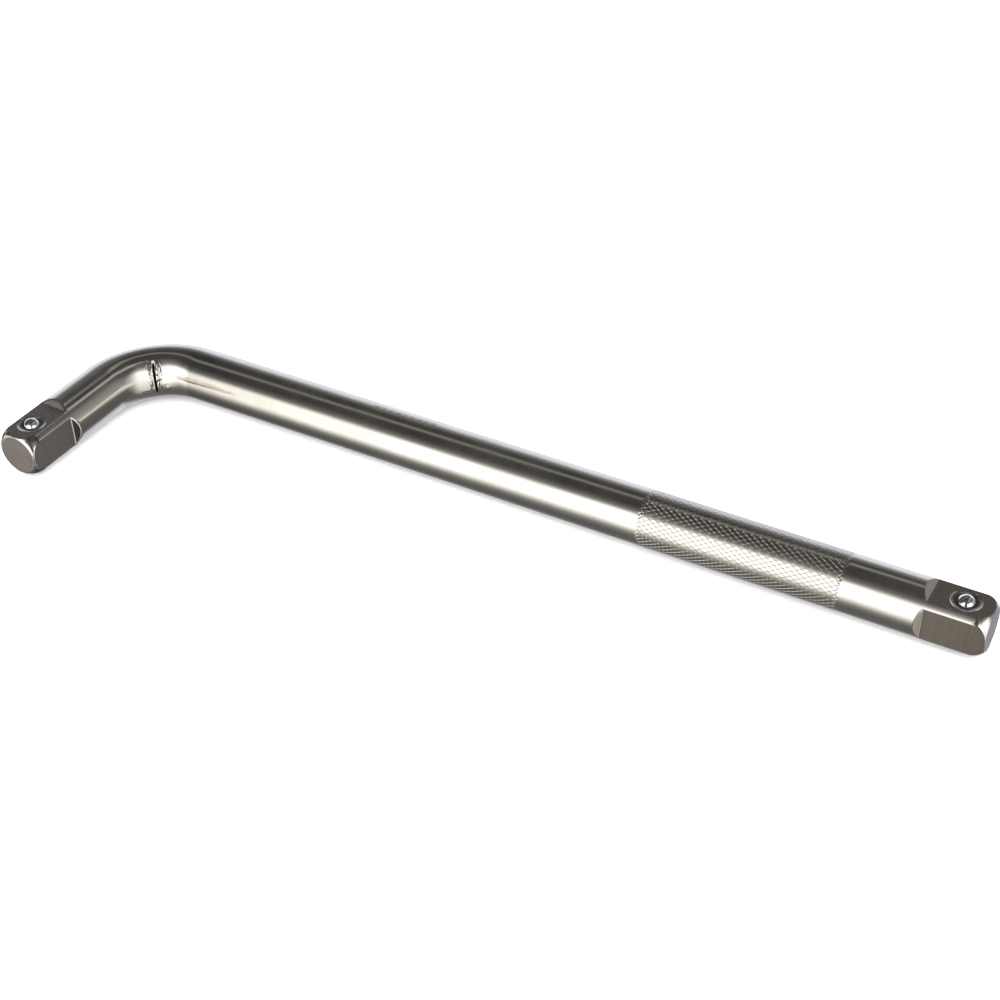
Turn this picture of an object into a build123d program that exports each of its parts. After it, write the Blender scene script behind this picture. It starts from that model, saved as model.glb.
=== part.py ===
"""L-handle for 1/2 inch drive sockets: one bent round bar with a male square and a spring ball at each end.

The two legs lie flat, the long leg along X and the short leg along Y, and both spring balls face up.
The origin is on the ground under the middle of the handle. All sizes are in millimetres.
"""

import os
from math import radians, sqrt, tan

from build123d import *

os.makedirs("parts", exist_ok=True)

# Round bar, bent once
bar_diameter = 16.0
overall_length = 275.0  # outer side of the short leg to the face of the long leg
overall_width = 67.0  # outer side of the long leg to the face of the short leg
bend_radius = 22.0  # at the bar's centreline

# Male squares, milled on both ends of the bar
across_flats = 12.65
long_square_length = 16.2  # end face to the foot of the shoulders
short_square_length = 16.7
shoulder_angle = 45.0  # slope of the run-out behind each flat
end_face_diameter = 12.2
end_turning_length = 3.6  # how far the round-over reaches back from the end face
end_turning_radius = 5.0
end_face_rounding = 0.3

# Spring ball in the upper flat of each square
ball_diameter = 5.0
ball_setback = 7.6  # end face to the ball's centre
ball_stand_out = 1.5  # proud of the flat when nothing presses on it
ball_travel = 1.6
bore_clearance = 0.1  # around the ball
dish_diameter = 8.2  # ring mark of the punch that closed the rim over the ball
dish_wall = 0.3  # width of the ring mark's outer slope
dish_wall_depth = 0.14
rim_depth = 0.2  # from the flat down to the closed rim
rim_taper_height = 0.5
rim_thickness = 0.25  # the thin wall left between the bore and the punch's groove
groove_diameter = 6.5  # dark groove the punch leaves round the rim
groove_depth = 0.6
groove_wall = 0.15
drill_point_angle = 118.0

# Spring under the ball
spring_wire_diameter = 0.6
spring_mean_diameter = 3.7
spring_turns = 6
spring_seat_gap = 0.05  # to the ball above and to the drill point below
spring_solid_margin = 1.1  # pressed length over the length with all turns touching

cut_margin = 1.0  # how far a cutting shape reaches outside the bar

# Worked out from the sizes above
bar_radius = bar_diameter / 2
flat_height = across_flats / 2
end_face_radius = end_face_diameter / 2
shoulder_run = (bar_radius - flat_height) / tan(radians(shoulder_angle))
margin_run = cut_margin / tan(radians(shoulder_angle))
long_leg_y = overall_width / 2 - bar_radius
short_leg_x = bar_radius - overall_length / 2

ball_radius = ball_diameter / 2
ball_height = flat_height + ball_stand_out - ball_radius
bore_radius = ball_radius + bore_clearance
rim_height = flat_height - rim_depth
rim_radius = sqrt(bore_radius**2 - (rim_height - ball_height) ** 2)
dish_radius = dish_diameter / 2
dish_floor = flat_height - dish_wall_depth
groove_radius = groove_diameter / 2
groove_floor = flat_height - groove_depth

spring_radius = spring_mean_diameter / 2
wire_radius = spring_wire_diameter / 2
spring_top = ball_height - sqrt((ball_radius + wire_radius + spring_seat_gap) ** 2 - spring_radius**2)
spring_shut_height = spring_turns * spring_wire_diameter * spring_solid_margin
spring_bottom = spring_top - ball_travel - spring_shut_height
drill_point_slope = 1 / tan(radians(drill_point_angle / 2))
seat_drop = (wire_radius + spring_seat_gap) * sqrt(1 + drill_point_slope**2)
bore_floor = spring_bottom - seat_drop + (bore_radius - spring_radius) * drill_point_slope
bore_point = bore_floor - bore_radius * drill_point_slope

# Each end's plane has x out of the end face, y up and z sideways, with its origin in the end face
long_end_centre = (overall_length / 2, long_leg_y, bar_radius)
short_end_centre = (short_leg_x, -overall_width / 2, bar_radius)
ends = {
    "long_end": (Plane(origin=long_end_centre, x_dir=(1, 0, 0), z_dir=(0, -1, 0)), long_square_length),
    "short_end": (Plane(origin=short_end_centre, x_dir=(0, -1, 0), z_dir=(-1, 0, 0)), short_square_length),
}


# Bar: round stock bent to an L, with both squares and both ball bores cut into it
with BuildPart() as bar:
    with BuildLine() as centreline:
        corner = (short_leg_x, long_leg_y, bar_radius)
        FilletPolyline(long_end_centre, corner, short_end_centre, radius=bend_radius)
    with BuildSketch(centreline.line ^ 0):
        Circle(bar_radius)
    sweep(path=centreline.line)

    for end_plane, square_length in ends.values():
        leg_axis = Axis(end_plane.origin, end_plane.x_dir)

        # Four flats, each running out to the round bar on a sloping shoulder
        for quarter in range(4):
            sideways = end_plane.z_dir.rotate(leg_axis, 90 * quarter)
            with BuildSketch(Plane(end_plane.origin, end_plane.x_dir, sideways)):
                Polygon(
                    (cut_margin, flat_height),
                    (-square_length, flat_height),
                    (-square_length - shoulder_run - margin_run, bar_radius + cut_margin),
                    (cut_margin, bar_radius + cut_margin),
                    align=None,
                )
            extrude(amount=bar_radius + cut_margin, both=True, mode=Mode.SUBTRACT)

        # Turned round-over that leaves a round end face
        with BuildSketch(end_plane):
            with BuildLine():
                RadiusArc((-end_turning_length, bar_radius), (0, end_face_radius), end_turning_radius)
                Polyline(
                    (0, end_face_radius),
                    (cut_margin, end_face_radius),
                    (cut_margin, bar_radius + cut_margin),
                    (-end_turning_length, bar_radius + cut_margin),
                    (-end_turning_length, bar_radius),
                )
            make_face()
        revolve(axis=leg_axis, mode=Mode.SUBTRACT)

        # Blind bore for the spring and the ball, with a drill point, closed rim, groove and ring mark
        bore_plane = Plane(end_plane.from_local_coords((-ball_setback, 0, 0)), end_plane.x_dir, end_plane.z_dir)
        with BuildSketch(bore_plane):
            Polygon(
                (0, bore_point),
                (bore_radius, bore_floor),
                (bore_radius, rim_height - rim_taper_height),
                (rim_radius, rim_height),
                (bore_radius + rim_thickness, groove_floor),
                (groove_radius - groove_wall, groove_floor),
                (groove_radius, dish_floor),
                (dish_radius - dish_wall, dish_floor),
                (dish_radius, flat_height),
                (dish_radius, flat_height + cut_margin),
                (0, flat_height + cut_margin),
                align=None,
            )
        revolve(axis=Axis(bore_plane.origin, (0, 0, 1)), mode=Mode.SUBTRACT)

        end_face = bar.faces().sort_by(leg_axis)[-1]
        fillet(end_face.outer_wire().edges(), radius=end_face_rounding)

bar.part.label = "bar"
export_step(bar.part, "parts/bar.step")


for end_name, (end_plane, _) in ends.items():
    ball_centre = end_plane.from_local_coords((-ball_setback, ball_height, 0))
    spring_foot = end_plane.from_local_coords((-ball_setback, spring_bottom, 0))

    # Ball: stands proud of the flat until a socket pushes it down
    with BuildPart() as ball:
        with Locations(ball_centre):
            Sphere(ball_radius)
    ball.part.label = f"{end_name}_ball"
    export_step(ball.part, f"parts/{end_name}_ball.step")

    # Spring: stands on the drill point and pushes the ball up against its rim
    with BuildPart() as spring:
        with BuildLine() as coil:
            spring_height = spring_top - spring_bottom
            Helix(spring_height / spring_turns, spring_height, spring_radius, center=spring_foot)
        with BuildSketch(coil.line ^ 0):
            Circle(wire_radius)
        sweep(path=coil.line, is_frenet=True)
    spring.part.label = f"{end_name}_spring"
    export_step(spring.part, f"parts/{end_name}_spring.step")
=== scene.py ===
import math

import bmesh
import bpy
from mathutils import Matrix, Vector, noise


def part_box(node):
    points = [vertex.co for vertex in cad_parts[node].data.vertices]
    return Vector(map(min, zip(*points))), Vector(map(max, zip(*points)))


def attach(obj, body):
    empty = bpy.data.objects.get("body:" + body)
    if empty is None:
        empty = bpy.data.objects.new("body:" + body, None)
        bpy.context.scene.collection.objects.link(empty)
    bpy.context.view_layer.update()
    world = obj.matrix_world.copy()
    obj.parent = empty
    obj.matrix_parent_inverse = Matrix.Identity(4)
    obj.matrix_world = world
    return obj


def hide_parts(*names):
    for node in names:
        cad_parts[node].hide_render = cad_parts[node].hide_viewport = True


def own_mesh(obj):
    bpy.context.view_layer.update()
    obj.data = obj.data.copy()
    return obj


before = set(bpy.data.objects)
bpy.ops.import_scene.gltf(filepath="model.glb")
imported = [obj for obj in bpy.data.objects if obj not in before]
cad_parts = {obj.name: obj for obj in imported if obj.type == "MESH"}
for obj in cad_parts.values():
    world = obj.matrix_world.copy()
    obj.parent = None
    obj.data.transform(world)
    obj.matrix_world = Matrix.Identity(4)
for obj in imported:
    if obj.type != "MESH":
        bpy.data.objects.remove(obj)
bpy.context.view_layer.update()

MM = 0.001

# ---------------------------------------------------------------- sizes, in metres
bar_low, bar_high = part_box("bar")
BAR_RADIUS = (bar_high.z - bar_low.z) / 2
AXIS_Z = bar_low.z + BAR_RADIUS
LONG_AXIS_Y = bar_high.y - BAR_RADIUS
SHORT_AXIS_X = bar_low.x + BAR_RADIUS
FACETS = 152  # four for each groove of the knurl, so that its rings meet the plain bar's

BEND_RADIUS = 22 * MM
BEND_STEPS = 180
BEND_CENTRE = Vector((SHORT_AXIS_X + BEND_RADIUS, LONG_AXIS_Y - BEND_RADIUS, AXIS_Z))

# What Y - X comes to on the bar's centreline, in the middle of the bend. It is less on the inner side.
FOLD_LIMIT = BEND_CENTRE.y - BEND_CENTRE.x + math.sqrt(2) * BEND_RADIUS
FOLD_SHIFT = -0.7 * MM  # along the inner wall, from the bend's middle towards the long leg
CREASE_DEPTH = 0.9 * MM
CREASE_HALF_WIDTH = 0.42 * MM

FLAT_HEIGHT = 12.65 / 2 * MM
LONG_SQUARE_LENGTH = 16.2 * MM
SHORT_SQUARE_LENGTH = 16.7 * MM
LONG_EDGE_ROUNDING = 0.2 * MM
SHORT_EDGE_ROUNDING = 0.28 * MM
STUB_LENGTH = 24 * MM
STUB_RINGS = 17
END_FACE_RADIUS = 6.1 * MM
END_TURNING_LENGTH = 3.6 * MM
END_TURNING_RADIUS = 5 * MM
END_TURNING_RINGS = 10
SLIVER = 0.03 * MM  # what lies nearer than this counts as touching
SHARP_EDGE = math.radians(18)  # an edge that turns by more than this gets rounded
SHOULDER_RUN = BAR_RADIUS - FLAT_HEIGHT
SQUARE_ON = 0.995  # a unit normal's share along an axis that it faces
SHOULDER_LEAN = 0.7  # its share along each of the two axes that a 45 degree shoulder faces
NORMAL_SLACK = 0.01

BALL_RADIUS = 2.5 * MM
BALL_SETBACK = 7.6 * MM
BALL_WORN_SPOT = 0.05 * MM
BORE_RADIUS = 2.6 * MM
RIM_RADIUS = 2.474 * MM
RIM_DEPTH = 0.2 * MM
RIM_TAPER = 0.5 * MM
DISH_RADIUS = 4.1 * MM
DISH_WALL = 0.3 * MM
DISH_WALL_DEPTH = 0.14 * MM
DISH_ROUNDING = 0.05 * MM
RIM_THICKNESS = 0.25 * MM
GROOVE_RADIUS = 3.25 * MM
GROOVE_WALL = 0.15 * MM
GROOVE_DEPTH = 0.6 * MM

KNURL_SETBACK = 37.7 * MM  # from the long leg's end face
KNURL_STARTS = 38
KNURL_PITCH = 2.39 * MM  # along the bar, between grooves of one hand
KNURL_REPEATS = 24
KNURL_DEPTH = 0.075 * MM
KNURL_PILLOW = 0.018 * MM  # how far a diamond falls away from its middle to its corners
KNURL_RUN_OUT = 0.8 * MM
KNURL_FRACTIONS = (0.0, 0.062, 0.5, 0.938)  # groove, its two lips and the diamond's middle

SPRING_WIRE = 0.6 * MM
SPRING_MEAN_RADIUS = 1.85 * MM
SPRING_TURNS = 6
SPRING_STEPS = 40

MARK_LEFT = -45.5 * MM
MARK_RIGHT = -16.5 * MM
MARK_RING = 1 * MM
MARK_RINGS = 34
MARK_MIDDLE_Y = LONG_AXIS_Y + 0.2 * MM
MARK_HEIGHT = 2.2 * MM
MARK_DEPTH = 0.17 * MM
MARK_STROKES = 9
MARK_RULE = 0.22 * MM
MARK_GAP = 0.25 * MM  # between a rule and the strokes
MARK_DASHES_LENGTH = 7.5 * MM

KNURL_RIGHT = bar_high.x - KNURL_SETBACK
KNURL_LEFT = KNURL_RIGHT - KNURL_REPEATS * KNURL_PITCH
KNURL_JOIN = 0.6 * MM  # plain bar between the knurl's last ring and the shank's first
BALL_PLACES = (  # X and Y of the two balls
    (bar_high.x - BALL_SETBACK, LONG_AXIS_Y),
    (SHORT_AXIS_X, bar_low.y + BALL_SETBACK),
)


# ---------------------------------------------------------------- modelling helpers
def clear_selection():
    if bpy.context.mode != "OBJECT":
        bpy.ops.object.mode_set(mode="OBJECT")
    bpy.ops.object.select_all(action="DESELECT")


def make_active(piece, *others):
    clear_selection()
    for other in (piece, *others):
        other.select_set(True)
    bpy.context.view_layer.objects.active = piece


def name_new(name):
    """Names the primitive that was just added and puts its place into its mesh."""
    piece = bpy.context.active_object
    piece.name = piece.data.name = name
    make_active(piece)
    bpy.ops.object.transform_apply(location=True, rotation=True, scale=True)
    return piece


def pick(piece, kind, wanted):
    """In edit mode, selects only the verts, edges or faces that wanted() accepts."""
    bpy.context.tool_settings.mesh_select_mode = (kind == "verts", kind == "edges", kind == "faces")
    bpy.ops.mesh.select_all(action="DESELECT")
    mesh = bmesh.from_edit_mesh(piece.data)
    for item in getattr(mesh, kind):
        if wanted(item):
            item.select_set(True)
    mesh.select_flush_mode()
    bmesh.update_edit_mesh(piece.data)


def turned(name, steps, facets=FACETS):
    """A closed solid turned about Z: steps are (radius, height), from its first face to its last."""
    radius, height = steps[0]
    clear_selection()
    bpy.ops.mesh.primitive_circle_add(
        vertices=facets, radius=radius, fill_type="NGON", location=(0, 0, height)
    )
    piece = name_new(name)
    bpy.ops.object.mode_set(mode="EDIT")
    bpy.ops.mesh.select_all(action="SELECT")
    for next_radius, next_height in steps[1:]:
        bpy.ops.mesh.extrude_region_move(TRANSFORM_OT_translate={"value": (0, 0, next_height - height)})
        scale = next_radius / radius
        bpy.ops.transform.resize(value=(scale, scale, 1), center_override=(0, 0, next_height))
        radius, height = next_radius, next_height
    bpy.ops.mesh.select_all(action="SELECT")
    bpy.ops.mesh.normals_make_consistent(inside=False)
    bpy.ops.object.mode_set(mode="OBJECT")
    return piece


def cut_away(piece, cutter):
    """Cuts one solid out of another and removes the cutter."""
    make_active(piece)
    bpy.ops.object.modifier_add(type="BOOLEAN")
    cut = piece.modifiers[-1]
    cut.operation = "DIFFERENCE"
    cut.solver = "EXACT"
    cut.object = cutter
    bpy.ops.object.modifier_apply(modifier=cut.name)
    bpy.data.objects.remove(cutter)


def is_sharp(edge):
    return len(edge.link_faces) == 2 and edge.calc_face_angle() > SHARP_EDGE


def round_edges(piece, width, segments, wanted):
    """Rounds the sharp edges that wanted() accepts, in edit mode."""
    make_active(piece)
    bpy.ops.object.mode_set(mode="EDIT")
    pick(piece, "edges", lambda edge: is_sharp(edge) and wanted(edge))
    bpy.ops.mesh.bevel(
        offset=width, offset_type="OFFSET", segments=segments, affect="EDGES", clamp_overlap=False,
    )
    bpy.ops.object.mode_set(mode="OBJECT")


# ---------------------------------------------------------------- square ends
def flat_cutter(square_length, quarter):
    """A block over one flat, with a 45 degree rear face that leaves the sloping shoulder."""
    height = 2 * SHOULDER_RUN
    front = 1 * MM
    length = square_length + front
    middle = Vector((front - length / 2, 0, FLAT_HEIGHT + height / 2))
    clear_selection()
    bpy.ops.mesh.primitive_cube_add(
        size=1, location=middle, scale=(length, 3 * BAR_RADIUS, height),
    )
    cutter = name_new("flat_cutter")
    bpy.ops.object.mode_set(mode="EDIT")
    pick(cutter, "verts", lambda v: v.co.x < middle.x and v.co.z > middle.z)
    bpy.ops.transform.translate(value=(-height, 0, 0))
    bpy.ops.object.mode_set(mode="OBJECT")
    cutter.data.transform(Matrix.Rotation(math.radians(90 * quarter), 4, "X"))
    return cutter


def bore_cutter():
    """The ball's bore with its closed-in rim, the groove round it and the shallow dish round both."""
    above = FLAT_HEIGHT + 1 * MM
    dish_floor = FLAT_HEIGHT - DISH_WALL_DEPTH
    groove_floor = FLAT_HEIGHT - GROOVE_DEPTH
    rim = FLAT_HEIGHT - RIM_DEPTH
    cutter = turned("bore_cutter", [
        (DISH_RADIUS, above),
        (DISH_RADIUS, FLAT_HEIGHT),
        (DISH_RADIUS - DISH_WALL, dish_floor),
        (GROOVE_RADIUS, dish_floor),
        (GROOVE_RADIUS - GROOVE_WALL, groove_floor),
        (BORE_RADIUS + RIM_THICKNESS, groove_floor),
        (RIM_RADIUS, rim),
        (BORE_RADIUS, rim - RIM_TAPER),
        (BORE_RADIUS, -FLAT_HEIGHT / 2),
    ], facets=96)
    cutter.data.transform(Matrix.Translation((-BALL_SETBACK, 0, 0)))
    return cutter


def end_turning_radius(back):
    """The bar's radius at some way back from its end face, over the convex turned round-over."""
    length, drop = END_TURNING_LENGTH, BAR_RADIUS - END_FACE_RADIUS
    chord = math.hypot(length, drop)
    reach = math.sqrt(END_TURNING_RADIUS ** 2 - chord ** 2 / 4)
    centre_back = length / 2 + drop * reach / chord
    centre_radius = END_FACE_RADIUS + drop / 2 - length * reach / chord
    return centre_radius + math.sqrt(END_TURNING_RADIUS ** 2 - (back - centre_back) ** 2)


def square_end(name, square_length, rounding):
    """One end of the bar, with its face at the origin, pointing along X and with its ball flat up."""
    rings = []
    for ring in range(END_TURNING_RINGS):
        back = END_TURNING_LENGTH * (ring / END_TURNING_RINGS) ** 1.3  # closer together near the face
        rings.append((end_turning_radius(back), -back))
    plain_length = STUB_LENGTH - END_TURNING_LENGTH
    for ring in range(STUB_RINGS + 1):
        rings.append((BAR_RADIUS, -END_TURNING_LENGTH - plain_length * ring / STUB_RINGS))
    stub = turned(name, rings)
    stub.data.transform(Matrix.Rotation(math.radians(90), 4, "Y"))
    for quarter in range(4):
        cut_away(stub, flat_cutter(square_length, quarter))
    make_active(stub)
    bpy.ops.object.mode_set(mode="EDIT")
    bpy.ops.mesh.select_all(action="SELECT")
    bpy.ops.mesh.remove_doubles(threshold=SLIVER)
    bpy.ops.object.mode_set(mode="OBJECT")
    inside = -STUB_LENGTH + SLIVER
    round_edges(stub, rounding, 3, lambda edge: min(v.co.x for v in edge.verts) > inside)
    cut_away(stub, bore_cutter())

    def near_bore(vertex):
        off_bore = math.hypot(vertex.co.x + BALL_SETBACK, vertex.co.y)
        return vertex.co.z > FLAT_HEIGHT / 2 and off_bore < DISH_RADIUS + SLIVER

    round_edges(stub, DISH_ROUNDING, 2, lambda edge: all(near_bore(v) for v in edge.verts))
    make_active(stub)
    bpy.ops.object.mode_set(mode="EDIT")
    pick(stub, "faces", lambda f: f.calc_center_median().x < inside)
    bpy.ops.mesh.delete(type="FACE")
    bpy.ops.object.mode_set(mode="OBJECT")
    return stub


# ---------------------------------------------------------------- knurled grip
def knurl_relief(u_step, v_step):
    """How far a point of the knurl lies under the bar's surface. Four steps make one groove spacing."""
    if u_step % 4 == 0 or v_step % 4 == 0:
        return KNURL_DEPTH
    off_middle = (u_step % 4 != 2) + (v_step % 4 != 2)
    return KNURL_PILLOW * off_middle / 2


def knurled_sleeve():
    """Two hands of V grooves that cross in diamonds, as a sleeve open at both ends."""
    across = 4 * KNURL_STARTS
    along = 8 * KNURL_REPEATS  # u_step - v_step at the far end
    points = []
    index = {}

    def place(step):
        return step // 4 + KNURL_FRACTIONS[step % 4]

    def point(u_step, v_step):
        key = (u_step - v_step, v_step % across)
        if key not in index:
            u, v = place(u_step), place(v_step)
            x = (u - v) * KNURL_PITCH / 2
            turn = (u + v) * math.pi / KNURL_STARTS
            run_out = min(1, min(x, KNURL_REPEATS * KNURL_PITCH - x) / KNURL_RUN_OUT)
            radius = BAR_RADIUS - knurl_relief(u_step, v_step) * max(0, run_out)
            index[key] = len(points)
            points.append((
                KNURL_LEFT + x,
                LONG_AXIS_Y + radius * math.sin(turn),
                AXIS_Z + radius * math.cos(turn),
            ))
        return index[key]

    faces = []
    for v_step in range(across):
        for u_step in range(v_step - 1, v_step + along + 1):
            corners = [
                (u_step, v_step), (u_step + 1, v_step), (u_step + 1, v_step + 1), (u_step, v_step + 1),
            ]
            inside = [c for c in corners if 0 <= c[0] - c[1] <= along]
            if len(inside) >= 3:
                faces.append([point(*c) for c in inside])
    mesh = bpy.data.meshes.new("knurled_sleeve")
    mesh.from_pydata(points, [], faces)
    sleeve = bpy.data.objects.new("knurled_sleeve", mesh)
    bpy.context.scene.collection.objects.link(sleeve)
    return sleeve


# ---------------------------------------------------------------- bend
def smooth_step(value, low, high):
    share = min(1, max(0, (value - low) / (high - low)))
    return share * share * (3 - 2 * share)


def hump(value, middle, width):
    return math.exp(-(((value - middle) / width) ** 2))


def wrinkles(along, turn, length, width, seed):
    """Uneven waves from -1 to 1, of a given length in metres along the wall and width in degrees round it."""
    return noise.noise(Vector((along / length, turn / width, seed)))


def bend_pinch(along, turn):
    """How far the inner wall is pushed in.

    Along is in metres from the bend's middle, on the inner side. Turn is in degrees, up from the
    innermost line.
    """
    along -= FOLD_SHIFT
    side = abs(along)

    # A flat pressed into the wall on both sides of the fold
    facet_middle, facet_half = 24, 34
    off_middle = math.radians(turn - facet_middle)
    half = math.radians(facet_half)
    facet = 0
    if abs(off_middle) < half:
        facet = BAR_RADIUS * (1 - math.cos(half) / math.cos(off_middle))
    facet *= 0.3 * (1 - smooth_step(side, 1.5 * MM, 8.5 * MM))

    # The fold itself, which wanders a little and has raised lips
    reach = smooth_step(turn, -32, -16) * (1 - smooth_step(turn, 46, 57))
    wander = 0.25 * MM * noise.noise(Vector((turn / 16, 2.6, 0.4)))
    crease = CREASE_DEPTH * max(0, 1 - abs(along - wander) / CREASE_HALF_WIDTH) ** 1.2 * reach
    lips = -0.07 * MM * hump(side, 0.8 * MM, 0.4 * MM) * reach

    # Puckers beside the fold, rucks at its foot and ripples over its top
    pucker_reach = hump(side, 1.1 * MM, 0.8 * MM) * reach
    pucker = 0.13 * MM * wrinkles(along, turn, 0.5 * MM, 7, 3.1) * pucker_reach
    ruck_reach = hump(side, 3.0 * MM, 2.2 * MM) * hump(turn, -13, 9)
    ruck = 0.15 * MM * wrinkles(along, turn, 0.6 * MM, 4.5, 5.7) * ruck_reach
    ripple_reach = hump(along, 0.4 * MM, 4.2 * MM) * hump(turn, 55, 7)
    ripple = 0.09 * MM * wrinkles(along, turn, 1.6 * MM, 14, 8.4) * ripple_reach
    return facet + crease + lips + pucker + ruck + ripple


def crease_bend(handle):
    """Pinches the bend's inner wall, where the bar was folded over its former."""
    inner_radius = BEND_RADIUS - BAR_RADIUS
    for vertex in handle.data.vertices:
        out = vertex.co - BEND_CENTRE
        bend_angle = math.atan2(-out.x, out.y)
        if not 0 < bend_angle < math.pi / 2 or out.xy.length > BEND_RADIUS + BAR_RADIUS + SLIVER:
            continue
        axis_point = Vector((-math.sin(bend_angle), math.cos(bend_angle), 0)) * BEND_RADIUS
        spoke = out - axis_point
        inward = -spoke.dot(axis_point.normalized())
        turn = math.degrees(math.atan2(spoke.z, inward))
        along = (bend_angle - math.pi / 4) * inner_radius
        vertex.co -= spoke.normalized() * bend_pinch(along, turn)


# ---------------------------------------------------------------- rolled mark
def mark_stroke(left, right, low, high, slant):
    """A shallow cutting block over the top of the bar, with its upper side leant over by slant."""
    top = bar_high.z + 1 * MM
    floor = bar_high.z - MARK_DEPTH
    clear_selection()
    bpy.ops.mesh.primitive_cube_add(
        size=1,
        location=((left + right) / 2, (low + high) / 2, (top + floor) / 2),
        scale=(right - left, high - low, top - floor),
    )
    stroke = name_new("mark_stroke")
    bpy.ops.object.mode_set(mode="EDIT")
    pick(stroke, "verts", lambda v: v.co.y > (low + high) / 2)
    bpy.ops.transform.translate(value=(slant, 0, 0))
    bpy.ops.object.mode_set(mode="OBJECT")
    return stroke


def roll_mark(handle):
    """A plain mark with no lettering: slanted strokes between two rules, then three short dashes."""
    low, high = MARK_MIDDLE_Y - MARK_HEIGHT / 2, MARK_MIDDLE_Y + MARK_HEIGHT / 2
    rules_end = MARK_RIGHT - MARK_DASHES_LENGTH
    strokes = [
        mark_stroke(MARK_LEFT, rules_end, low, low + MARK_RULE, 0),
        mark_stroke(MARK_LEFT, rules_end, high - MARK_RULE, high, 0),
    ]
    spacing = (rules_end - MARK_LEFT) / MARK_STROKES
    inset = MARK_RULE + MARK_GAP
    for number in range(MARK_STROKES):
        left = MARK_LEFT + spacing * (number + 0.2)
        width = (0.75 if number % 3 else 1.15) * MM  # every third stroke is a wide one
        strokes.append(mark_stroke(left, left + width, low + inset, high - inset, 0.5 * MM))
    for number in range(3):
        left = MARK_RIGHT - 5.6 * MM + 2 * MM * number
        strokes.append(mark_stroke(left, left + 1.3 * MM, low + 0.6 * MM, high - 0.9 * MM, 0.25 * MM))
    make_active(*strokes)
    bpy.ops.object.join()
    cut_away(handle, bpy.context.active_object)


# ---------------------------------------------------------------- handle
def bar_blank():
    """The plain bar from the knurl's left end, round the bend and down the short leg."""
    start_x = KNURL_LEFT - KNURL_JOIN
    clear_selection()
    bpy.ops.mesh.primitive_circle_add(
        vertices=FACETS, radius=BAR_RADIUS, fill_type="NOTHING",
        location=(start_x, LONG_AXIS_Y, AXIS_Z), rotation=(0, math.radians(90), 0),
    )
    blank = name_new("blank")
    bpy.ops.object.mode_set(mode="EDIT")
    bpy.ops.mesh.select_mode(type="EDGE")
    bpy.ops.mesh.select_all(action="SELECT")
    stops = [MARK_RIGHT + 2 * MM - MARK_RING * ring for ring in range(MARK_RINGS)]
    stops.append(BEND_CENTRE.x)
    for stop in stops:
        bpy.ops.mesh.extrude_region_move(TRANSFORM_OT_translate={"value": (stop - start_x, 0, 0)})
        start_x = stop
    bpy.ops.mesh.spin(steps=BEND_STEPS, angle=math.radians(-90), center=BEND_CENTRE, axis=(0, 0, 1))
    short_end = bar_low.y + STUB_LENGTH
    bpy.ops.mesh.extrude_region_move(TRANSFORM_OT_translate={"value": (0, short_end - BEND_CENTRE.y, 0)})
    bpy.ops.object.mode_set(mode="OBJECT")
    return blank


def close_gap(handle, low_x, high_x):
    """Bridges the two open rings that lie between two places along the long leg."""
    make_active(handle)
    bpy.ops.object.mode_set(mode="EDIT")
    pick(handle, "edges", lambda e: e.is_boundary and all(low_x < v.co.x < high_x for v in e.verts))
    bpy.ops.mesh.bridge_edge_loops()
    bpy.ops.object.mode_set(mode="OBJECT")


def build_handle():
    long_end = square_end("handle", LONG_SQUARE_LENGTH, LONG_EDGE_ROUNDING)
    long_end.data.transform(Matrix.Translation((bar_high.x, LONG_AXIS_Y, AXIS_Z)))
    make_active(long_end)
    bpy.ops.object.mode_set(mode="EDIT")
    pick(long_end, "edges", lambda e: e.is_boundary)
    plain_length = bar_high.x - STUB_LENGTH - KNURL_RIGHT - KNURL_JOIN
    bpy.ops.mesh.extrude_region_move(TRANSFORM_OT_translate={"value": (-plain_length, 0, 0)})
    bpy.ops.object.mode_set(mode="OBJECT")

    short_end = square_end("short_square", SHORT_SQUARE_LENGTH, SHORT_EDGE_ROUNDING)
    short_end.data.transform(Matrix.Rotation(math.radians(-90), 4, "Z"))
    short_end.data.transform(Matrix.Translation((SHORT_AXIS_X, bar_low.y, AXIS_Z)))
    make_active(long_end, short_end, bar_blank(), knurled_sleeve())
    bpy.ops.object.join()
    handle = bpy.context.active_object
    close_gap(handle, KNURL_LEFT - 2 * KNURL_JOIN, KNURL_LEFT + KNURL_JOIN)
    close_gap(handle, KNURL_RIGHT - KNURL_JOIN, KNURL_RIGHT + 2 * KNURL_JOIN)
    make_active(handle)
    bpy.ops.object.mode_set(mode="EDIT")
    bpy.ops.mesh.select_all(action="SELECT")
    bpy.ops.mesh.remove_doubles(threshold=SLIVER / 6)
    bpy.ops.mesh.normals_make_consistent(inside=False)
    bpy.ops.object.mode_set(mode="OBJECT")
    roll_mark(handle)
    crease_bend(handle)
    return handle


def is_flat(side, height, side_normal, height_normal, end_normal):
    """True on the four ground flats and on their sloping shoulders."""
    squarest = max(abs(side_normal), abs(height_normal))
    flattest = min(abs(side_normal), abs(height_normal))
    on_flat = squarest > SQUARE_ON and abs(max(abs(side), abs(height)) - FLAT_HEIGHT) < SLIVER
    on_slope = abs(end_normal - math.sqrt(0.5)) < NORMAL_SLACK and flattest < NORMAL_SLACK
    return on_flat or on_slope


def in_recess(centre):
    """True in the bore and the groove round a ball, but not in the dish."""
    if not AXIS_Z < centre.z < AXIS_Z + FLAT_HEIGHT - DISH_WALL_DEPTH - 0.05 * MM:
        return False
    return any(
        math.hypot(centre.x - ball_x, centre.y - ball_y) < GROOVE_RADIUS + 0.02 * MM
        for ball_x, ball_y in BALL_PLACES
    )


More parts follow.
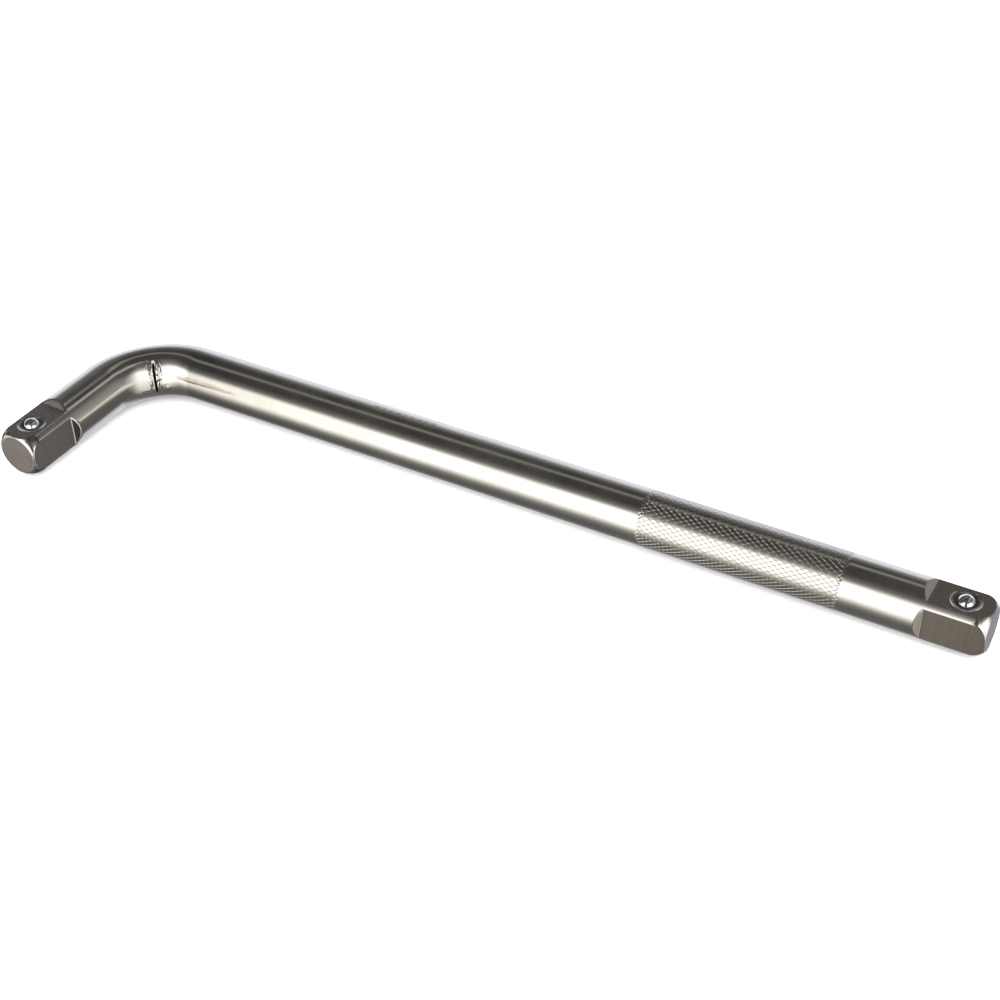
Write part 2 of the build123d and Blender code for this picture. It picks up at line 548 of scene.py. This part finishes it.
def surface_at(centre, normal):
    """The name of the surface that a face of the handle belongs to."""
    if in_recess(centre):
        return "recess"
    side_x, side_y, height = centre.x - SHORT_AXIS_X, centre.y - LONG_AXIS_Y, centre.z - AXIS_Z
    if centre.x > bar_high.x - LONG_SQUARE_LENGTH - SHOULDER_RUN - SLIVER:
        if normal.x > SQUARE_ON and centre.x > bar_high.x - SLIVER:
            return "long_face"
        if is_flat(side_y, height, normal.y, normal.z, normal.x):
            return "long_ball_flat" if normal.z > SQUARE_ON else "long_flat"
    if centre.y < bar_low.y + SHORT_SQUARE_LENGTH + SHOULDER_RUN + SLIVER:
        if normal.y < -SQUARE_ON and centre.y < bar_low.y + SLIVER:
            return "short_face"
        if is_flat(side_x, height, normal.x, normal.z, -normal.y):
            # Painted shade: the short end's shoulders that face +X and -Y get a dark colour
            if normal.x > SHOULDER_LEAN and normal.y < -SHOULDER_LEAN:
                return "short_shoulder"
            return "short_ball_flat" if normal.z > SQUARE_ON else "short_flat"
        # Painted shade: the turned corners between the flats at the short end get a dark colour
        off_centre = math.hypot(side_x, height)
        past_face = off_centre > END_FACE_RADIUS + 0.5 * MM
        at_corner = min(abs(side_x), abs(height)) > off_centre * 0.55
        if centre.y < bar_low.y + END_TURNING_LENGTH and past_face and at_corner:
            return "short_corner"
    return "plating"


def mark_surfaces(handle):
    """Gives each surface its material: the flats, shoulders, corners and end faces are copies of one ground or
    turned finish, coloured lighter or darker as painted light and shade, and the recesses are darkened by oil
    and dirt and by painted shade.
    """
    long_face_centre = (bar_high.x, LONG_AXIS_Y, AXIS_Z)
    short_face_centre = (SHORT_AXIS_X, bar_low.y, AXIS_Z)
    finishes = {
        "plating": plated_steel(),
        # Painted light and shade: each side flat has its own copy of the ground finish, lighter or darker for
        # how the studio lights it
        "long_flat": ground_flat("ground_flat_long", 0, (0.44, 0.385, 0.315), (0.34, 0.29, 0.24)),
        "short_flat": ground_flat("ground_flat_short", 1, (0.64, 0.595, 0.55), (0.42, 0.39, 0.365)),
        # Painted light and shade: each end face has its own copy of the turned finish, the long one much
        # darker for how the studio lights it
        "long_face": turned_face(
            "turned_face_long", long_face_centre, (0.15, 0.138, 0.135), (0.12, 0.11, 0.108)),
        "short_face": turned_face(
            "turned_face_short", short_face_centre, (0.40, 0.355, 0.31), (0.32, 0.28, 0.245)),
        # Painted shade: a dark copy of the ground finish on the short end's shoulders
        "short_shoulder": ground_flat("shaded_shoulder", 1, (0.17, 0.155, 0.145), (0.12, 0.11, 0.105)),
        # Painted shade: a dark copy of the ground finish on the short end's turned corners
        "short_corner": ground_flat("corner_painted_shade", 1, (0.16, 0.15, 0.14), (0.13, 0.12, 0.11)),
        "recess": recess_oil_and_shade(),
        # Painted shade: the ball flats, which face up, are darker copies of the same ground finish
        "long_ball_flat": ground_flat("ball_flat_long", 0, (0.26, 0.225, 0.19), (0.19, 0.165, 0.14)),
        "short_ball_flat": ground_flat("ball_flat_short", 1, (0.29, 0.26, 0.235), (0.19, 0.17, 0.155)),
    }
    for finish in finishes.values():
        handle.data.materials.append(finish)
    numbers = {surface: number for number, surface in enumerate(finishes)}
    for face in handle.data.polygons:
        face.material_index = numbers[surface_at(face.center, face.normal)]


# ---------------------------------------------------------------- detent balls and springs
def detent_ball(name, centre):
    """A steel ball with a spot worn flat on its top."""
    clear_selection()
    bpy.ops.mesh.primitive_uv_sphere_add(segments=64, ring_count=32, radius=BALL_RADIUS, location=centre)
    ball = name_new(name)
    worn_height = centre.z + BALL_RADIUS - BALL_WORN_SPOT
    bpy.ops.object.mode_set(mode="EDIT")
    pick(ball, "verts", lambda v: v.co.z > worn_height)
    bpy.ops.transform.resize(value=(1, 1, 0), center_override=(centre.x, centre.y, worn_height))
    bpy.ops.object.mode_set(mode="OBJECT")
    bpy.ops.object.shade_smooth()
    ball.data.materials.append(polished_ball())
    return ball


def detent_spring(name, cad_node):
    """A coil with flush ends, wound from a wire section by the screw modifier."""
    low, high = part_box(cad_node)
    wire_radius = SPRING_WIRE / 2
    rise = high.z - low.z - SPRING_WIRE
    clear_selection()
    bpy.ops.mesh.primitive_circle_add(
        vertices=12, radius=wire_radius, fill_type="NOTHING",
        location=(SPRING_MEAN_RADIUS, 0, 0), rotation=(math.radians(90), 0, 0),
    )
    spring = name_new(name)
    bpy.ops.object.modifier_add(type="SCREW")
    winding = spring.modifiers[-1]
    winding.axis = "Z"
    winding.angle = math.radians(360)
    winding.screw_offset = rise / SPRING_TURNS
    winding.iterations = SPRING_TURNS
    winding.steps = winding.render_steps = SPRING_STEPS
    bpy.ops.object.modifier_apply(modifier=winding.name)
    bpy.ops.object.mode_set(mode="EDIT")
    pick(spring, "edges", lambda e: e.is_boundary)
    bpy.ops.mesh.edge_face_add()
    bpy.ops.mesh.select_all(action="SELECT")
    bpy.ops.mesh.normals_make_consistent(inside=False)
    bpy.ops.object.mode_set(mode="OBJECT")
    middle = (low + high) / 2
    spring.data.transform(Matrix.Translation((middle.x, middle.y, low.z + wire_radius)))
    make_active(spring)
    bpy.ops.object.shade_smooth_by_angle(angle=math.radians(40))
    spring.data.materials.append(drawn_wire())
    return spring


# ---------------------------------------------------------------- finishes
def add_node(tree, kind, inputs=None, **settings):
    """Adds a node. Inputs are numbers, colours or the sockets that feed them."""
    added = tree.nodes.new(kind)
    for name, value in settings.items():
        setattr(added, name, value)
    for name, value in (inputs or {}).items():
        if isinstance(value, bpy.types.NodeSocket):
            tree.links.new(value, added.inputs[name])
        else:
            added.inputs[name].default_value = value
    return added


def add_math(tree, operation, first, second=0.0, third=None):
    inputs = {0: first, 1: second}
    if third is not None:
        inputs[2] = third
    return add_node(tree, "ShaderNodeMath", inputs, operation=operation).outputs[0]


def blend_values(tree, share, first, second):
    return add_node(tree, "ShaderNodeMix", {0: share, 2: first, 3: second}).outputs[0]


def blend_colours(tree, share, first, second):
    """Mixes two colours. Each is three numbers or a socket."""
    inputs = {0: share}
    for place, colour in ((6, first), (7, second)):
        inputs[place] = colour if isinstance(colour, bpy.types.NodeSocket) else (*colour, 1)
    return add_node(tree, "ShaderNodeMix", inputs, data_type="RGBA").outputs[2]


def spread(tree, value, low, high, out_low, out_high):
    """Carries a value from one range to another and holds it there."""
    return add_node(tree, "ShaderNodeMapRange", {
        "Value": value, "From Min": low, "From Max": high, "To Min": out_low, "To Max": out_high,
    }).outputs["Result"]


def mottle(tree, value, light, dark, reach=0.15):
    """A colour that goes from light to dark as an uneven value passes its middle."""
    return blend_colours(tree, spread(tree, value, 0.5 - reach, 0.5 + reach, 0.0, 1.0), light, dark)


def gate(tree, value, low, high):
    """A share that rises smoothly from 0 at low to 1 at high, which may be the smaller of the two."""
    return add_node(tree, "ShaderNodeMapRange", {
        "Value": value, "From Min": low, "From Max": high,
    }, interpolation_type="SMOOTHSTEP").outputs["Result"]


def shared_effect(name, inputs, outputs):
    """A new node group with named sockets, and the nodes at its two ends."""
    tree = bpy.data.node_groups.new(name, "ShaderNodeTree")
    for socket, kind, value in inputs:
        added = tree.interface.new_socket(name=socket, in_out="INPUT", socket_type=kind)
        if value is not None:
            added.default_value = value
    for socket in outputs:
        tree.interface.new_socket(name=socket, in_out="OUTPUT", socket_type="NodeSocketFloat")
    return tree, tree.nodes.new("NodeGroupInput"), tree.nodes.new("NodeGroupOutput")


def plating_texture():
    """Fine pits and specks left under a bright plating, with slow clouds of polish over them."""
    if "plating_texture" in bpy.data.node_groups:
        return bpy.data.node_groups["plating_texture"]
    tree, given, result = shared_effect(
        "plating_texture",
        [("Vector", "NodeSocketVector", None), ("Speck Scale", "NodeSocketFloat", 1800.0),
         ("Cloud Scale", "NodeSocketFloat", 90.0)],
        ["Height", "Specks", "Clouds"],
    )
    fine = add_node(tree, "ShaderNodeTexNoise", {
        "Vector": given.outputs["Vector"], "Scale": given.outputs["Speck Scale"], "Detail": 2.0,
    })
    specks = add_node(tree, "ShaderNodeMapRange", {
        "Value": fine.outputs["Fac"], "From Min": 0.66, "From Max": 0.76,
    }, interpolation_type="SMOOTHSTEP")
    peel_scale = add_math(tree, "MULTIPLY", given.outputs["Speck Scale"], 0.35)
    peel = add_node(tree, "ShaderNodeTexNoise", {
        "Vector": given.outputs["Vector"], "Scale": peel_scale, "Detail": 1.0,
    })
    clouds = add_node(tree, "ShaderNodeTexNoise", {
        "Vector": given.outputs["Vector"], "Scale": given.outputs["Cloud Scale"],
        "Detail": 5.0, "Roughness": 0.62,
    })
    height = add_math(tree, "MULTIPLY", fine.outputs["Fac"], 0.12)
    height = add_math(tree, "MULTIPLY_ADD", peel.outputs["Fac"], 0.5, height)
    height = add_math(tree, "MULTIPLY_ADD", specks.outputs["Result"], 0.8, height)
    tree.links.new(height, result.inputs["Height"])
    tree.links.new(specks.outputs["Result"], result.inputs["Specks"])
    tree.links.new(clouds.outputs["Fac"], result.inputs["Clouds"])
    return tree


def cutter_lines():
    """Fine parallel lines of uneven depth. They lie across the axis along which the vector grows fastest."""
    if "cutter_lines" in bpy.data.node_groups:
        return bpy.data.node_groups["cutter_lines"]
    tree, given, result = shared_effect(
        "cutter_lines",
        [("Vector", "NodeSocketVector", None), ("Scale", "NodeSocketFloat", 1.0)],
        ["Height", "Tone"],
    )
    close = add_node(tree, "ShaderNodeTexNoise", {
        "Vector": given.outputs["Vector"], "Scale": given.outputs["Scale"], "Detail": 4.0, "Roughness": 0.7,
    })
    broad_scale = add_math(tree, "MULTIPLY", given.outputs["Scale"], 0.22)
    broad = add_node(tree, "ShaderNodeTexNoise", {
        "Vector": given.outputs["Vector"], "Scale": broad_scale, "Detail": 2.0,
    })
    tone = add_math(tree, "MULTIPLY", close.outputs["Fac"], 0.4)
    tone = add_math(tree, "MULTIPLY_ADD", broad.outputs["Fac"], 0.6, tone)
    tree.links.new(close.outputs["Fac"], result.inputs["Height"])
    tree.links.new(tone, result.inputs["Tone"])
    return tree


def new_finish(name):
    """A material, its node tree, its shader and the place on the piece."""
    finish = bpy.data.materials.new(name)
    finish.use_nodes = True
    shader = finish.node_tree.nodes["Principled BSDF"]
    place = finish.node_tree.nodes.new("ShaderNodeTexCoord")
    return finish, finish.node_tree, shader, place.outputs["Object"]


def add_effect(tree, group, inputs):
    return add_node(tree, "ShaderNodeGroup", inputs, node_tree=group)


def set_metal(tree, shader, colour, roughness, height, bump_strength, bump_distance, metallic=1.0):
    shader.inputs["Metallic"].default_value = metallic
    tree.links.new(colour, shader.inputs["Base Color"])
    tree.links.new(roughness, shader.inputs["Roughness"])
    bump = add_node(tree, "ShaderNodeBump", {
        "Height": height, "Strength": bump_strength, "Distance": bump_distance,
    })
    tree.links.new(bump.outputs["Normal"], shader.inputs["Normal"])


def plated_steel():
    """Bright nickel-grey plating, painted near black down in the bend's fold as painted shade."""
    finish, tree, shader, place = new_finish("plated_steel")
    effect = add_effect(tree, plating_texture(), {
        "Vector": place, "Speck Scale": 1500.0, "Cloud Scale": 70.0,
    })
    colour = mottle(tree, effect.outputs["Clouds"], (0.61, 0.58, 0.52), (0.55, 0.52, 0.465))
    # Painted shade: the colour goes near black down in the bend's fold
    colour = blend_colours(tree, fold_painted_shade(tree, place), colour, (0.05, 0.045, 0.04))
    roughness = spread(tree, effect.outputs["Clouds"], 0.3, 0.7, 0.095, 0.165)
    set_metal(tree, shader, colour, roughness, effect.outputs["Height"], 0.35, 0.012 * MM)
    return finish


def fold_painted_shade(tree, place):
    """A share that is 1 down in the bend's fold, where the colour is painted near black as painted shade."""
    parts = add_node(tree, "ShaderNodeSeparateXYZ", {0: place}).outputs
    x, y, z = parts["X"], parts["Y"], parts["Z"]
    uneven = add_node(tree, "ShaderNodeTexNoise", {"Vector": place, "Scale": 700.0, "Detail": 3.0})
    wander = add_math(tree, "SUBTRACT", uneven.outputs["Fac"], 0.5)
    spoke = math.radians(45) + FOLD_SHIFT / (BEND_RADIUS - BAR_RADIUS)

    # How far a place lies to the side of the fold's spoke
    off_x = add_math(tree, "SUBTRACT", x, BEND_CENTRE.x)
    off_y = add_math(tree, "SUBTRACT", y, BEND_CENTRE.y)
    off_fold = add_math(tree, "MULTIPLY", off_y, math.sin(spoke))
    off_fold = add_math(tree, "MULTIPLY_ADD", off_x, math.cos(spoke), off_fold)
    off_fold = add_math(tree, "MULTIPLY_ADD", wander, 0.5 * MM, off_fold)
    on_fold = gate(tree, add_math(tree, "ABSOLUTE", off_fold), 0.36 * MM, 0.14 * MM)

    inward = add_math(tree, "SUBTRACT", add_math(tree, "SUBTRACT", y, x), FOLD_LIMIT)
    inside = gate(tree, inward, 0.2 * MM, -0.2 * MM)
    above_foot = gate(tree, z, AXIS_Z - 4.2 * MM, AXIS_Z - 2.5 * MM)
    under_top = gate(tree, z, AXIS_Z + 6.4 * MM, AXIS_Z + 5.2 * MM)
    share = add_math(tree, "MULTIPLY", on_fold, inside)
    for limit in (above_foot, under_top):
        share = add_math(tree, "MULTIPLY", share, limit)
    return share


def ground_flat(name, axis, light, dark):
    """A satin flat, ground with lines that run across the leg's own axis: 0 for X, 1 for Y."""
    finish, tree, shader, place = new_finish(name)
    stretch = [60.0, 60.0, 60.0]
    stretch[axis] = 2600.0
    mapped = add_node(tree, "ShaderNodeMapping", {"Vector": place, "Scale": stretch}).outputs["Vector"]
    effect = add_effect(tree, cutter_lines(), {"Vector": mapped, "Scale": 1.0})
    colour = mottle(tree, effect.outputs["Tone"], light, dark)
    roughness = spread(tree, effect.outputs["Tone"], 0.3, 0.7, 0.2, 0.32)
    set_metal(tree, shader, colour, roughness, effect.outputs["Height"], 0.5, 0.02 * MM)
    return finish


def turned_face(name, centre, light, dark):
    """A satin end face with faint rings round its middle."""
    finish, tree, shader, place = new_finish(name)
    local = add_node(tree, "ShaderNodeVectorMath", {0: place, 1: centre}, operation="SUBTRACT")
    distance = add_node(tree, "ShaderNodeVectorMath", {0: local.outputs["Vector"]}, operation="LENGTH")
    rings = add_node(tree, "ShaderNodeTexNoise", {
        "W": distance.outputs["Value"], "Scale": 2400.0, "Detail": 3.0,
    }, noise_dimensions="1D")
    effect = add_effect(tree, plating_texture(), {
        "Vector": place, "Speck Scale": 1200.0, "Cloud Scale": 160.0,
    })
    colour = mottle(tree, effect.outputs["Clouds"], light, dark, reach=0.2)
    roughness = spread(tree, rings.outputs["Fac"], 0.3, 0.7, 0.27, 0.4)
    height = add_math(tree, "MULTIPLY_ADD", rings.outputs["Fac"], 0.7, effect.outputs["Height"])
    set_metal(tree, shader, colour, roughness, height, 0.4, 0.02 * MM)
    return finish


def recess_oil_and_shade():
    """Old oil and dirt, with painted shade on top, that darken the groove and the gap round a ball."""
    finish, tree, shader, place = new_finish("recess_oil_and_shade")
    effect = add_effect(tree, plating_texture(), {
        "Vector": place, "Speck Scale": 1500.0, "Cloud Scale": 900.0,
    })
    # Near black: partly old oil and dirt, partly painted shade down in the recess round the ball
    colour = mottle(tree, effect.outputs["Clouds"], (0.045, 0.04, 0.036), (0.02, 0.018, 0.017))
    roughness = spread(tree, effect.outputs["Clouds"], 0.3, 0.7, 0.35, 0.6)
    set_metal(tree, shader, colour, roughness, effect.outputs["Height"], 0.5, 0.02 * MM, metallic=0.6)
    return finish


def polished_ball():
    """Bearing steel, a little darker and smoother than the bar's plating."""
    if "polished_ball" in bpy.data.materials:
        return bpy.data.materials["polished_ball"]
    finish, tree, shader, place = new_finish("polished_ball")
    effect = add_effect(tree, plating_texture(), {
        "Vector": place, "Speck Scale": 3200.0, "Cloud Scale": 500.0,
    })
    colour = mottle(tree, effect.outputs["Clouds"], (0.53, 0.495, 0.45), (0.46, 0.43, 0.39))
    roughness = spread(tree, effect.outputs["Clouds"], 0.3, 0.7, 0.05, 0.12)
    set_metal(tree, shader, colour, roughness, effect.outputs["Height"], 0.2, 0.006 * MM)
    return finish


def drawn_wire():
    """Spring wire with faint drawing lines."""
    if "drawn_wire" in bpy.data.materials:
        return bpy.data.materials["drawn_wire"]
    finish, tree, shader, place = new_finish("drawn_wire")
    stretch = (900.0, 900.0, 9000.0)
    mapped = add_node(tree, "ShaderNodeMapping", {"Vector": place, "Scale": stretch}).outputs["Vector"]
    effect = add_effect(tree, cutter_lines(), {"Vector": mapped, "Scale": 1.0})
    colour = mottle(tree, effect.outputs["Tone"], (0.36, 0.35, 0.34), (0.24, 0.23, 0.22))
    roughness = spread(tree, effect.outputs["Tone"], 0.3, 0.7, 0.25, 0.4)
    set_metal(tree, shader, colour, roughness, effect.outputs["Height"], 0.4, 0.01 * MM)
    return finish


# ---------------------------------------------------------------- studio
def ramp_of(tree, value, stops, low, high):
    """A brightness that follows stops of (angle in degrees, brightness) as value goes from 0 to 1."""
    brightest = max(level for angle, level in stops)
    ramp = add_node(tree, "ShaderNodeValToRGB", {"Fac": value})
    elements = ramp.color_ramp.elements
    while len(elements) < len(stops):
        elements.new(1.0)
    for element, (angle, level) in zip(elements, stops):
        element.position = (angle - low) / (high - low)
        element.color = (level / brightest,) * 3 + (1,)
    return add_math(tree, "MULTIPLY", ramp.outputs["Color"], brightest)


def angle_gate(tree, angle, low, high):
    return gate(tree, angle, math.radians(low), math.radians(high))


def between(tree, angle, rise, fall):
    """A share of 1 between two slopes, each given as the degrees at which it is 0 and 1."""
    return add_math(tree, "MULTIPLY", angle_gate(tree, angle, *rise), angle_gate(tree, angle, *fall))


# Brightness by the angle round the long leg, from straight down, up the backdrop, over the ceiling
# and down the front box
ROUND_THE_BAR = [
    (-90, 0.18), (-75, 0.28), (-62, 0.6), (-50, 1.05), (-30, 1.15), (9, 1.2), (16, 1.15), (27, 0.85),
    (38, 0.30), (48, 0.15), (55, 0.06), (63, 0.03), (102, 0.028), (111, 0.045), (119, 0.12), (127, 0.21),
    (134, 0.5), (141, 1.6), (148, 2.2), (188, 2.2), (198, 1.6), (207, 0.95), (218, 0.42), (229, 0.25),
    (243, 0.17), (257, 0.17), (270, 0.18),
]
# Brightness by the angle above the floor, to the right of the tool and at its front right corner
UP_THE_SIDE = [
    (-90, 0.2), (-60, 0.2), (-50, 0.19), (-42, 0.16), (-33, 0.155), (-25, 0.17), (-13, 0.185), (-5, 0.33),
    (0, 0.55), (3, 0.68), (6, 0.6), (10, 0.42), (15, 0.38), (24, 0.30), (33, 0.19), (41, 0.09),
    (52, 0.05), (90, 0.045),
]
UP_THE_FRONT_CORNER = [
    (-90, 0.18), (-68, 0.2), (-53, 0.36), (-43, 0.65), (-33, 1.0), (-13, 1.45), (7, 1.8), (30, 2.0),
    (38, 0.8), (46, 0.2), (58, 0.06), (90, 0.045),
]


def panels(tree, x, y, z):
    """Brightness of the backdrop, the ceiling, the wide front box and the two side boxes."""
    azimuth = add_math(tree, "ARCTAN2", x, y)
    elevation = add_math(tree, "MULTIPLY_ADD", add_math(tree, "ARCSINE", z), 1 / math.pi, 0.5)
    round_bar = add_math(tree, "ARCTAN2", z, y)
    either_way = add_math(tree, "ABSOLUTE", round_bar)

    # The front box leans at its left end, and the backdrop's upper edge leans all along
    past_left = add_math(tree, "MINIMUM", add_math(tree, "ADD", x, 0.3), 0.0)
    front_lean = add_math(tree, "MULTIPLY", past_left, math.radians(44))
    back_lean = add_math(tree, "MULTIPLY", add_math(tree, "ADD", x, 0.5), math.radians(25))
    in_front = angle_gate(tree, either_way, 95, 105)
    behind = between(tree, round_bar, (5, 30), (85, 60))
    leant = add_math(tree, "MULTIPLY_ADD", in_front, front_lean, round_bar)
    leant = add_math(tree, "MULTIPLY_ADD", behind, back_lean, leant)
    turns = add_math(tree, "FRACT", add_math(tree, "MULTIPLY_ADD", leant, 1 / math.tau, 0.25))
    studio = ramp_of(tree, turns, ROUND_THE_BAR, -90, 270)

    # Darker to the far left, above the backdrop
    far_left = gate(tree, x, -0.44, -0.64)
    above_backdrop = angle_gate(tree, either_way, 20, 38)
    shade = add_math(tree, "MULTIPLY", far_left, above_backdrop)
    studio = add_math(tree, "MULTIPLY", studio, add_math(tree, "MULTIPLY_ADD", shade, -0.45, 1.0))

    side = ramp_of(tree, elevation, UP_THE_SIDE, -90, 90)
    studio = blend_values(tree, between(tree, azimuth, (12, 34), (106, 92)), studio, side)
    corner = ramp_of(tree, elevation, UP_THE_FRONT_CORNER, -90, 90)
    return blend_values(tree, between(tree, azimuth, (70, 98), (150, 120)), studio, corner)


def strip_lights(tree, studio, x, y, z):
    """Adds a narrow light along each leg."""
    long_strip_tilt = add_math(tree, "MULTIPLY_ADD", x, math.radians(-25.8), math.radians(58.8))
    past_bend = add_math(tree, "MAXIMUM", add_math(tree, "SUBTRACT", -0.183, x), 0.0)
    strip_angle = add_math(tree, "MULTIPLY_ADD", past_bend, math.radians(45), long_strip_tilt)
    from_strip = add_math(tree, "SUBTRACT", add_math(tree, "ARCTAN2", z, y), strip_angle)
    strip = angle_gate(tree, add_math(tree, "ABSOLUTE", from_strip), 9, 1.5)
    strip = add_math(tree, "MULTIPLY", strip, gate(tree, x, 0.12, -0.02))
    strip_level = spread(tree, x, -0.3, 0.1, 0.24, 0.42)
    studio = add_math(tree, "MULTIPLY_ADD", strip, strip_level, studio)

    from_strip = add_math(tree, "SUBTRACT", add_math(tree, "ARCTAN2", x, z), math.radians(26))
    strip = angle_gate(tree, add_math(tree, "ABSOLUTE", from_strip), 8, 1)
    strip = add_math(tree, "MULTIPLY", strip, gate(tree, y, -0.3, -0.1))
    return add_math(tree, "MULTIPLY_ADD", strip, 0.55, studio)


def backdrop_tint(tree, x, y, z):
    """White, but cool low down on the backdrop."""
    share = add_math(tree, "MULTIPLY", gate(tree, y, 0.1, 0.6), gate(tree, z, 0.7, 0.3))
    share = add_math(tree, "MULTIPLY", share, gate(tree, x, 0.35, 0.15))
    return blend_colours(tree, share, (1, 1, 1), (0.95, 0.98, 1.13))


def studio_world():
    """A soft white studio. Its panels and strips show only in what mirrors them, and its light is even."""
    world = bpy.data.worlds.new("studio")
    bpy.context.scene.world = world
    world.use_nodes = True
    tree = world.node_tree
    tree.nodes.clear()
    direction = add_node(tree, "ShaderNodeTexCoord").outputs["Generated"]
    parts = add_node(tree, "ShaderNodeSeparateXYZ", {0: direction}).outputs
    x, y, z = parts["X"], parts["Y"], parts["Z"]
    studio = strip_lights(tree, panels(tree, x, y, z), x, y, z)
    tint = backdrop_tint(tree, x, y, z)

    plain = add_node(tree, "ShaderNodeBackground", {"Color": (1, 1, 1, 1), "Strength": 3.2})
    seen = add_node(tree, "ShaderNodeBackground", {"Color": (1, 1, 1, 1), "Strength": 1.0})
    mirrored = add_node(tree, "ShaderNodeBackground", {"Color": tint, "Strength": studio})
    path = add_node(tree, "ShaderNodeLightPath").outputs
    unseen = add_node(tree, "ShaderNodeMixShader", {
        0: path["Is Glossy Ray"], 1: plain.outputs[0], 2: mirrored.outputs[0],
    })
    everything = add_node(tree, "ShaderNodeMixShader", {
        0: path["Is Camera Ray"], 1: unseen.outputs[0], 2: seen.outputs[0],
    })
    output = add_node(tree, "ShaderNodeOutputWorld")
    tree.links.new(everything.outputs[0], output.inputs["Surface"])


def black_card():
    """A dark card behind the camera, between the front boxes. Only metal that mirrors it directly shows it."""
    right, left = Vector((0.46, -0.53)), Vector((0.105, -0.41))
    middle, across = (right + left) / 2, right - left
    clear_selection()
    bpy.ops.mesh.primitive_plane_add(
        size=1, location=(middle.x, middle.y, 0.1),
        rotation=(math.radians(90), 0, math.atan2(across.y, across.x)),
    )
    bpy.context.active_object.scale = (across.length, 1.4, 1)
    card = name_new("black_card")
    finish, tree, shader, place = new_finish("black_felt")
    weave = add_node(tree, "ShaderNodeTexNoise", {"Vector": place, "Scale": 400.0, "Detail": 2.0})
    colour = blend_colours(tree, weave.outputs["Fac"], (0.02, 0.02, 0.02), (0.03, 0.03, 0.03))
    tree.links.new(colour, shader.inputs["Base Color"])
    shader.inputs["Roughness"].default_value = 1.0
    shader.inputs["Specular IOR Level"].default_value = 0.0
    mirrored_before = add_node(tree, "ShaderNodeLightPath").outputs["Glossy Depth"]
    surface = add_node(tree, "ShaderNodeMixShader", {
        0: add_math(tree, "GREATER_THAN", mirrored_before, 1.5),
        1: shader.outputs[0],
        2: add_node(tree, "ShaderNodeBsdfTransparent").outputs[0],
    })
    tree.links.new(surface.outputs[0], tree.nodes["Material Output"].inputs["Surface"])
    card.data.materials.append(finish)
    card.visible_camera = card.visible_diffuse = card.visible_shadow = False


def pale_floor():
    """A pale floor a hair under the tool. It doesn't show in the metal, so the studio's panels do."""
    clear_selection()
    bpy.ops.mesh.primitive_plane_add(size=6, location=(0, 0, -0.01 * MM))
    floor = name_new("floor")
    finish, tree, shader, place = new_finish("pale_floor")
    clouds = add_node(tree, "ShaderNodeTexNoise", {"Vector": place, "Scale": 3.0, "Detail": 2.0})
    colour = blend_colours(tree, clouds.outputs["Fac"], (0.93, 0.93, 0.93), (0.90, 0.90, 0.90))
    tree.links.new(colour, shader.inputs["Base Color"])
    shader.inputs["Roughness"].default_value = 0.9
    shader.inputs["Specular IOR Level"].default_value = 0.1
    floor.data.materials.append(finish)
    floor.visible_glossy = False


def camera():
    data = bpy.data.cameras.new("camera")
    data.lens = 61.18
    data.sensor_width = 36
    data.clip_start = 0.01
    view = bpy.data.objects.new("camera", data)
    bpy.context.scene.collection.objects.link(view)
    view.matrix_world = (
        Matrix.Translation((0.1913, -0.3052, 0.2943))
        @ Matrix.Rotation(math.radians(30.51), 4, "Z")
        @ Matrix.Rotation(math.radians(52.26), 4, "X")
        @ Matrix.Rotation(math.radians(-1.48), 4, "Z")
    )
    bpy.context.scene.camera = view


# ---------------------------------------------------------------- the whole tool
handle = build_handle()
mark_surfaces(handle)
make_active(handle)
bpy.ops.object.shade_smooth_by_angle(angle=math.radians(30))
bpy.ops.object.modifier_add(type="WEIGHTED_NORMAL")
handle.modifiers[-1].keep_sharp = True
bpy.ops.object.modifier_apply(modifier=handle.modifiers[-1].name)
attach(handle, "handle")
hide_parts("bar")

for end in ("long", "short"):
    ball_low, ball_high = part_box(f"{end}_end_ball")
    ball = detent_ball(f"{end}_ball_polished", (ball_low + ball_high) / 2)
    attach(ball, f"{end}_ball")
    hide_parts(f"{end}_end_ball")

    spring = detent_spring(f"{end}_spring_coil", f"{end}_end_spring")
    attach(spring, "handle")
    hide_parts(f"{end}_end_spring")
    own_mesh(spring)

pale_floor()
black_card()
studio_world()
camera()
bpy.context.scene.view_settings.view_transform = "Standard"
